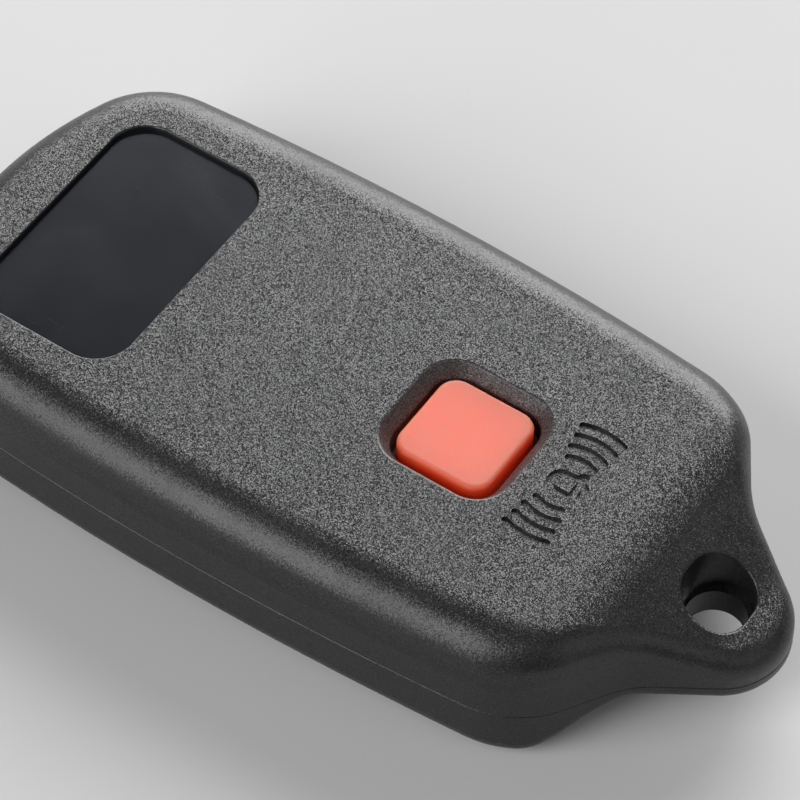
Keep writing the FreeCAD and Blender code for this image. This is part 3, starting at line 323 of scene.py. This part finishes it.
def chip_row(name, node, colour, roughness):
    # a row of ceramic chips with tinned ends across the row
    ceramic_share, tin_share, tin_colour = 0.60, 0.64, (0.55, 0.55, 0.53)
    low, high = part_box(node)
    across = 0 if high[0] - low[0] < high[1] - low[1] else 1
    middle, half = (low[across] + high[across]) / 2, (high[across] - low[across]) / 2
    paint = plain(name, colour, roughness)
    ceramic = paint.shader.inputs["Base Color"].links[0].from_socket
    offset = paint.maths("SUBTRACT", paint.component(paint.place, across), middle)
    tin = paint.ramp(paint.maths("ABSOLUTE", offset, 0.0), 0, 1, half * ceramic_share, half * tin_share)
    paint.feed(paint.shader, "Base Color", paint.blend(tin, ceramic, tin_colour))
    paint.feed(paint.shader, "Metallic", tin)
    return paint.material


MATERIALS = {
    "shell": grained_shell(),
    "label": label_sheet(),
    "alarm_rubber": alarm_rubber(),
    "front_rubber": plain("front_rubber_grey", (0.05, 0.05, 0.055), 0.6).material,
    "inlay": plain("inlay_white", (0.72, 0.72, 0.70), 0.5, tone=0.05).material,
    "module": plain("module_plastic", (0.03, 0.03, 0.033), 0.5).material,
    "gasket": plain("gasket_rubber", (0.16, 0.17, 0.18), 0.6).material,
    "board": circuit_mask(),
    "steel": turned_steel(),
    "spring_steel": plain("contact_steel", (0.55, 0.54, 0.52), 0.35, metallic=1.0).material,
    "switch": plain("switch_plastic", (0.02, 0.02, 0.021), 0.45).material,
    "plunger": plain("plunger_plastic", (0.5, 0.49, 0.45), 0.4).material,
    "light_pipe": plain("light_pipe_clear", (0.75, 0.76, 0.77), 0.15).material,
    "indicator": plain("indicator_red", (0.45, 0.02, 0.015), 0.2).material,
    "chip": plain("chip_mould", (0.012, 0.012, 0.012), 0.5).material,
    "can": plain("can_metal", (0.6, 0.6, 0.6), 0.3, metallic=1.0).material,
    "capacitor": chip_row("capacitor_ceramic", "capacitors", (0.28, 0.17, 0.08), 0.5),
    "resistor": chip_row("resistor_ceramic", "resistors", (0.02, 0.02, 0.025), 0.4),
    "antenna": plain("antenna_brass", (0.75, 0.5, 0.2), 0.3, metallic=1.0).material,
}
for node, thing in frame["nodes"].items():
    for slot in thing.material_slots:
        slot.material = MATERIALS[SLOT_OF[node]]


# Front buttons: the marks on them are thin inlays, seen from below with the key-ring end upwards

INLAY_THICKNESS = 0.04 * MM
INLAY_SINK = 0.01 * MM


def arc(centre, radius, start, end, steps=16):
    # points of an arc between two angles, in degrees
    angles = [math.radians(start + (end - start) * step / steps) for step in range(steps + 1)]
    return [(centre[0] + radius * math.cos(angle), centre[1] + radius * math.sin(angle)) for angle in angles]


def rounded_box(centre, width, height, radius):
    reach_x, reach_y = width / 2 - radius, height / 2 - radius
    corners = ((1, 1, 0), (-1, 1, 90), (-1, -1, 180), (1, -1, 270))
    return [point for side_x, side_y, turn in corners
            for point in arc((centre[0] + side_x * reach_x, centre[1] + side_y * reach_y),
                             radius, turn, turn + 90, steps=6)]


def band(path, width):
    # the outline of a stroke of even width along an open path
    left, right = [], []
    for index, here in enumerate(path):
        before, after = path[max(index - 1, 0)], path[min(index + 1, len(path) - 1)]
        run = (Vector(after) - Vector(before)).normalized()
        side = Vector((-run.y, run.x)) * width / 2
        left.append(tuple(Vector(here) + side))
        right.append(tuple(Vector(here) - side))
    return left + right[::-1]


def padlock(lift, open_side):
    # case with a keyhole, and a shackle whose right leg ends above the case when it is open
    leg, bow_height, leg_foot, stroke = 1.15, 0.75, 0.45, 0.52
    case = rounded_box(centre=(0, -1.0), width=3.8, height=2.9, radius=0.45)
    keyhole = arc(centre=(0, -0.75), radius=0.42, start=-60, end=240) + [(-0.17, -1.75), (0.17, -1.75)]
    bow = arc((0, bow_height + lift), leg, 0, 180)
    shackle = band([(leg, leg_foot + open_side)] + bow + [(-leg, leg_foot)], stroke)
    return [case, keyhole, shackle]


def open_hatch():
    # a car from the side with its rear hatch raised
    sill, axle, arch_radius, wheel_radius, hatch_stroke = -1.5, 1.7, 0.72, 0.5, 0.36
    wheel_arches = arc((axle, sill), arch_radius, 0, 180) + arc((-axle, sill), arch_radius, 0, 180)
    body = ([(3.2, sill)] + wheel_arches + [(-3.2, sill), (-3.2, 0.0), (-1.9, 0.15), (-1.15, 1.15),
            (0.75, 1.15), (1.75, 0.15), (3.0, -0.15), (3.3, -0.6)])
    window = [(-1.25, 0.2), (-0.8, 0.8), (0.55, 0.8), (1.15, 0.2)]
    hatch = band([(-1.15, 1.45), (-1.9, 1.75), (-3.1, 2.1)], hatch_stroke)
    wheels = [arc((side * axle, sill), wheel_radius, 0, 345, steps=23) for side in (1, -1)]
    return [body, window, hatch] + wheels


def inlay(name, outlines, button, body):
    # the outlines, in millimetres, filled as a thin sheet that is let into the button's face
    low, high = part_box(button)
    face = Vector(((low[0] + high[0]) / 2, (low[1] + high[1]) / 2, low[2] + INLAY_SINK))
    curve = bpy.data.curves.new(name, "CURVE")
    curve.dimensions = "2D"
    curve.fill_mode = "BOTH"
    curve.extrude = INLAY_THICKNESS / 2
    for outline in outlines:
        spline = curve.splines.new("POLY")
        spline.points.add(len(outline) - 1)
        for point, (right, up) in zip(spline.points, outline):
            point.co = (right * MM, up * MM, 0, 1)
        spline.use_cyclic_u = True
    flat = bpy.data.objects.new(name + "_outline", curve)
    bpy.context.scene.collection.objects.link(flat)
    mesh = bpy.data.meshes.new_from_object(flat.evaluated_get(bpy.context.evaluated_depsgraph_get()))
    bpy.data.objects.remove(flat)
    mesh.transform(Matrix.Translation(face) @ Matrix(((0, 1, 0), (1, 0, 0), (0, 0, -1))).to_4x4())
    mesh.name = name
    mesh.materials.clear()
    mesh.materials.append(MATERIALS["inlay"])
    mark = bpy.data.objects.new(name, mesh)
    bpy.context.scene.collection.objects.link(mark)
    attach(mark, body)


inlay("lock_pictogram", padlock(lift=0, open_side=0), "lock_button", "lock_key")
inlay("unlock_pictogram", padlock(lift=0.55, open_side=0.75), "unlock_button", "unlock_key")
inlay("hatch_pictogram", open_hatch(), "hatch_button", "hatch_key")


# Floor, light and background

FLOOR_REACH = 8.0
FLOOR_GAP = 0.05 * MM
SKY_STRENGTH = 0.1
LAMP_AIM = Vector((0, 0, 8)) * MM


def floor():
    # a matte floor, a hair below the fob so that their faces don't coincide
    grey_low, grey_high = (0.585, 0.585, 0.585), (0.61, 0.61, 0.61)
    mesh = bpy.data.meshes.new("floor")
    build = bmesh.new()
    bmesh.ops.create_grid(build, x_segments=1, y_segments=1, size=FLOOR_REACH,
                          matrix=Matrix.Translation((0, 0, -FLOOR_GAP)))
    build.to_mesh(mesh)
    build.free()
    ground = bpy.data.objects.new("floor", mesh)
    bpy.context.scene.collection.objects.link(ground)
    paint = Paint("floor_pale", (0.6, 0.6, 0.6), 0.9)
    paint.feed(paint.shader, "Specular IOR Level", 0.0)
    paint.feed(paint.shader, "Base Color",
               paint.blend(paint.ramp(paint.noise(per_mm=0.02, detail=4.0), 0, 1), grey_low, grey_high))
    mesh.materials.append(paint.material)


def softbox(name, centre, size, watts):
    # a rectangular lamp that faces the fob, its centre and size in millimetres
    data = bpy.data.lights.new(name, "AREA")
    data.shape = "RECTANGLE"
    data.size = size[0] * MM
    data.size_y = size[1] * MM
    data.energy = watts
    lamp = bpy.data.objects.new(name, data)
    place = Vector(centre) * MM
    turn = (LAMP_AIM - place).to_track_quat("-Z", "Y").to_matrix().to_4x4()
    lamp.matrix_world = Matrix.Translation(place) @ turn
    bpy.context.scene.collection.objects.link(lamp)


def world():
    sky = bpy.data.worlds.new("studio")
    sky.use_nodes = True
    background = sky.node_tree.nodes["Background"]
    background.inputs["Color"].default_value = (1, 1, 1, 1)
    background.inputs["Strength"].default_value = SKY_STRENGTH
    bpy.context.scene.world = sky


camera()
floor()
softbox("back_softbox", (-500, 1310, 690), (1750, 1150), 47)
softbox("front_softbox", (-540, -1100, 840), (1000, 1100), 18)
softbox("side_softbox", (1250, -50, 875), (1250, 1250), 3.6)
world()
bpy.context.scene.view_settings.view_transform = "Standard"
